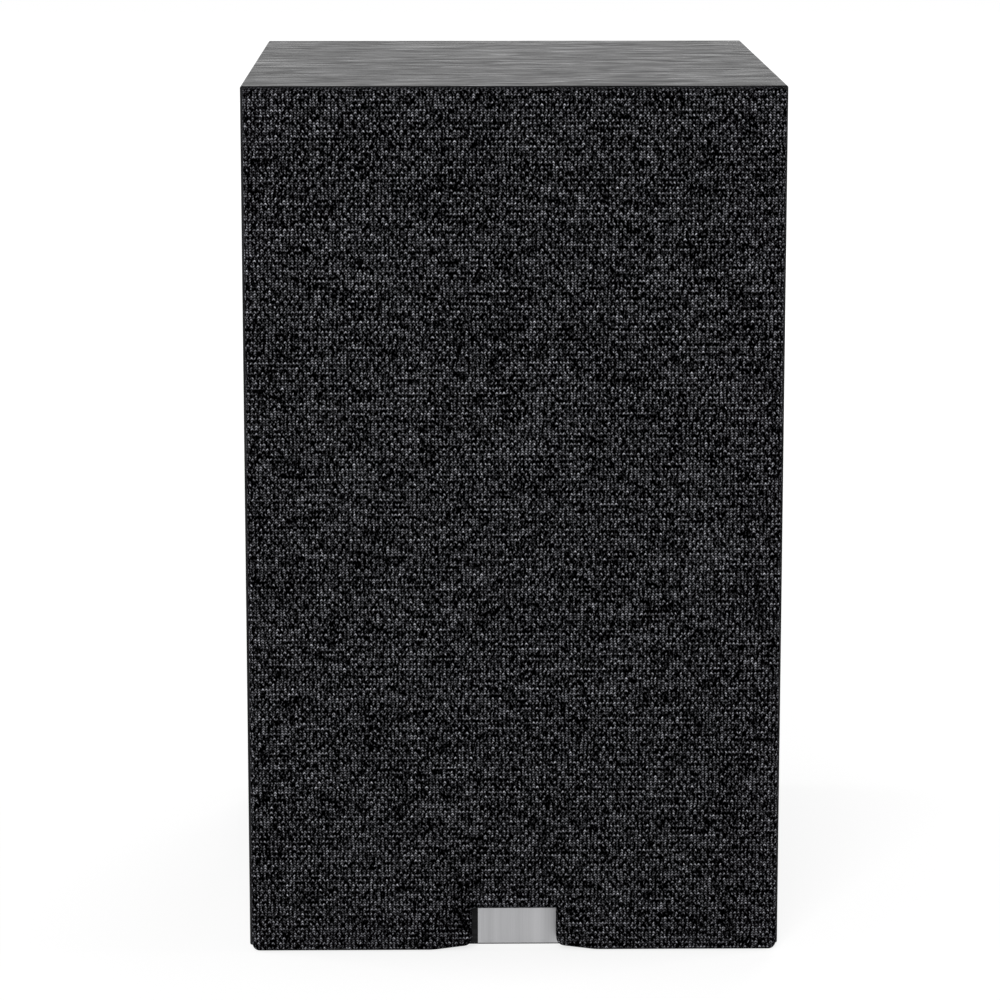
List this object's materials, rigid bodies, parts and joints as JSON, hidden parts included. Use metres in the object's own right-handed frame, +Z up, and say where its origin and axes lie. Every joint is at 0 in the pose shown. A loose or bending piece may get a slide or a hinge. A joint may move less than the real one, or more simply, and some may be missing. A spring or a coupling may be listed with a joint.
{
  "type": "bookshelf speaker",
  "caption": "Boxy two-way bookshelf speaker in black-ash vinyl with a full-front pull-off knit grille, finger notch, bare nameplate, rear port and binding posts.",
  "frame": {"origin": "centre of the cabinet's underside", "axes": "+Z up, -Y out of the front (grille) side, +X to the right as seen from the front"},
  "size_m": [0.216, 0.2741, 0.351],
  "materials": {
    "black_ash_vinyl_board": "satin black-ash vinyl on fibreboard",
    "black_painted_board": "matt black on fibreboard",
    "raw_fibreboard": "raw",
    "brushed_nameplate": "brushed, bare",
    "black_abs": "fine grain",
    "heathered_knit": "heathered black and grey knit",
    "black_rubber": "matt",
    "black_painted_steel": "satin powder coat",
    "black_screw_steel": "black oxide",
    "woven_cone": "woven fibre, coated",
    "former_foil": "resin paper",
    "copper_winding": "enamelled copper",
    "treated_cloth": "resin treated",
    "zinc_steel": "zinc plated",
    "ferrite": "matt",
    "terminal_brass": "gold flashed",
    "red_plastic": "clear-coated red",
    "port_card": "black",
    "circuit_board": "phenolic",
    "white_nylon": "natural",
    "film_capacitor": "film wrap",
    "cement": "raw",
    "red_insulation": "smooth",
    "black_insulation": "smooth",
    "damping_wadding": "loose fibre"
  },
  "bodies": {
    "cabinet": {"binding_post_negative": "terminal_brass", "binding_post_positive": "terminal_brass", "bottom_panel": "black_ash_vinyl_board", "crossover_board": "circuit_board", "crossover_capacitors": "film_capacitor", "crossover_inductors": "copper_winding", "crossover_resistors": "cement", "crossover_screws": "black_screw_steel", "crossover_standoffs": "white_nylon", "damping_pad_left": "damping_wadding", "damping_pad_right": "damping_wadding", "damping_pad_top": "damping_wadding", "front_baffle": "black_painted_board", "grille_sockets": "black_rubber", "left_side_panel": "black_ash_vinyl_board", "nameplate": "brushed_nameplate", "port_flare": "black_abs", "port_tube": "port_card", "post_nuts": "terminal_brass", "rear_panel": "black_painted_board", "right_side_panel": "black_ash_vinyl_board", "terminal_cup": "black_abs", "terminal_gasket": "black_rubber", "terminal_screws": "black_screw_steel", "top_panel": "black_ash_vinyl_board", "tweeter_back_plate": "zinc_steel", "tweeter_faceplate": "black_abs", "tweeter_gasket": "black_rubber", "tweeter_guard": "black_painted_steel", "tweeter_magnet": "ferrite", "tweeter_screws": "black_screw_steel", "tweeter_terminals": "terminal_brass", "tweeter_top_plate": "zinc_steel", "window_brace": "raw_fibreboard", "wires_negative": "black_insulation", "wires_positive": "red_insulation", "woofer_back_plate": "zinc_steel", "woofer_basket": "black_painted_steel", "woofer_gasket": "black_rubber", "woofer_magnet": "ferrite", "woofer_screws": "black_screw_steel", "woofer_terminals": "terminal_brass", "woofer_top_plate": "zinc_steel", "woofer_trim_ring": "black_abs"},
    "grille": {"grille_frame": "black_abs", "grille_fabric": "heathered_knit", "grille_pegs": "black_abs"},
    "woofer_moving": {"woofer_cone": "woven_cone", "woofer_dust_cap": "woven_cone", "woofer_coil_former": "former_foil", "woofer_voice_coil": "copper_winding", "woofer_surround": "black_rubber", "woofer_spider": "treated_cloth"},
    "tweeter_moving": {"tweeter_dome": "treated_cloth", "tweeter_voice_coil": "copper_winding", "tweeter_surround": "treated_cloth"},
    "clamp_ring_positive": {"clamp_ring_positive": "terminal_brass"},
    "clamp_ring_negative": {"clamp_ring_negative": "terminal_brass"},
    "knob_positive": {"knob_positive": "red_plastic"},
    "knob_negative": {"knob_negative": "black_abs"}
  },
  "joints": [
    {"name": "grille_pull", "type": "slide", "parent": "cabinet", "child": "grille", "axis": [0, -1, 0], "range_m": [0, 0.12]},
    {"name": "woofer_excursion", "type": "slide", "parent": "cabinet", "child": "woofer_moving", "axis": [0, -1, 0], "range_m": [-0.006, 0.006], "stiffness_N_per_m": 1100, "deforming": ["woofer_surround", "woofer_spider"]},
    {"name": "tweeter_excursion", "type": "slide", "parent": "cabinet", "child": "tweeter_moving", "axis": [0, -1, 0], "range_m": [-0.0005, 0.0005], "stiffness_N_per_m": 300, "deforming": ["tweeter_surround"]},
    {"name": "clamp_lift_positive", "type": "slide", "parent": "cabinet", "child": "clamp_ring_positive", "axis": [0, 1, 0], "range_m": [0, 0.005]},
    {"name": "knob_turn_positive", "type": "hinge", "parent": "clamp_ring_positive", "child": "knob_positive", "pos_m": [-0.00953, 0.128, 0.07], "axis": [0, 1, 0], "range_deg": [0, 1800]},
    {"name": "clamp_lift_negative", "type": "slide", "parent": "cabinet", "child": "clamp_ring_negative", "axis": [0, 1, 0], "range_m": [0, 0.005]},
    {"name": "knob_turn_negative", "type": "hinge", "parent": "clamp_ring_negative", "child": "knob_negative", "pos_m": [0.00953, 0.128, 0.07], "axis": [0, 1, 0], "range_deg": [0, 1800]}
  ],
  "couplings": [
    {"joint": "knob_turn_positive", "follows": "clamp_lift_positive", "rad_per_m": 6283.2},
    {"joint": "knob_turn_negative", "follows": "clamp_lift_negative", "rad_per_m": 6283.2}
  ]
}
